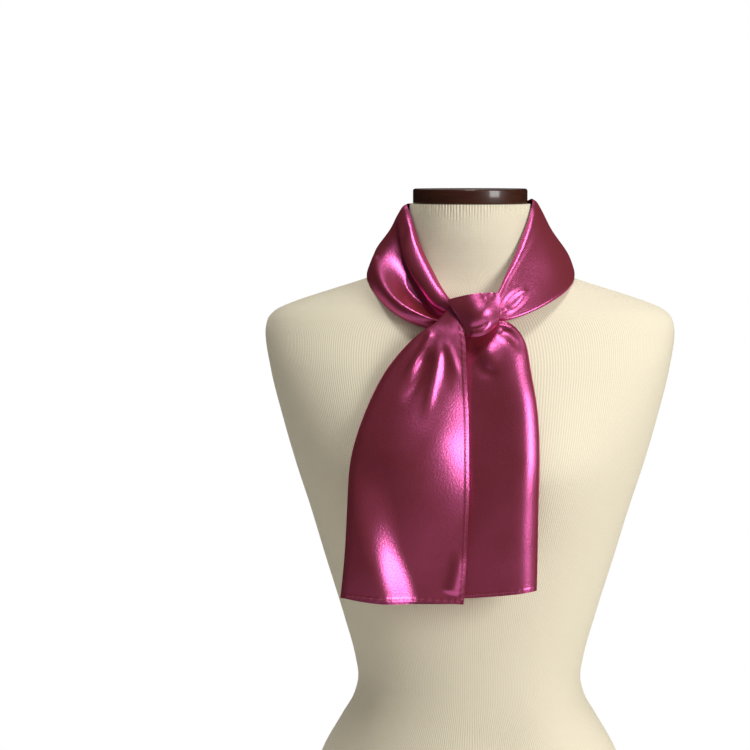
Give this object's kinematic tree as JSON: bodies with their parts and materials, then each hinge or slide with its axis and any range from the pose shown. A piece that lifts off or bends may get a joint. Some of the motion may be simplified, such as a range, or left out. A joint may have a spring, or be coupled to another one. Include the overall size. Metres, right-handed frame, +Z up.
{
  "type": "silk scarf on dress form",
  "caption": "Satin scarf folded lengthwise and knotted at the throat of a limbless jersey-covered dress form, its two tails hanging down the front.",
  "frame": {"origin": "middle of the dress form's flat foot, under the axis of its neck", "axes": "+Z up, -Y out of the front of the form, +X to the right as seen from the front"},
  "size_m": [0.401, 0.2587, 0.78],
  "materials": {
    "satin": "glossy satin, magenta wine red",
    "jersey": "fine ribbed cream jersey",
    "dark_wood": "dark brown wood, polished"
  },
  "bodies": {
    "root": {"dress_form": "jersey", "neck_cap": "dark_wood", "collar_right": "satin", "collar_back": "satin", "collar_left": "satin", "knot_heart": "satin", "knot_band": "satin", "front_tail": "satin", "back_tail": "satin"}
  },
  "joints": []
}
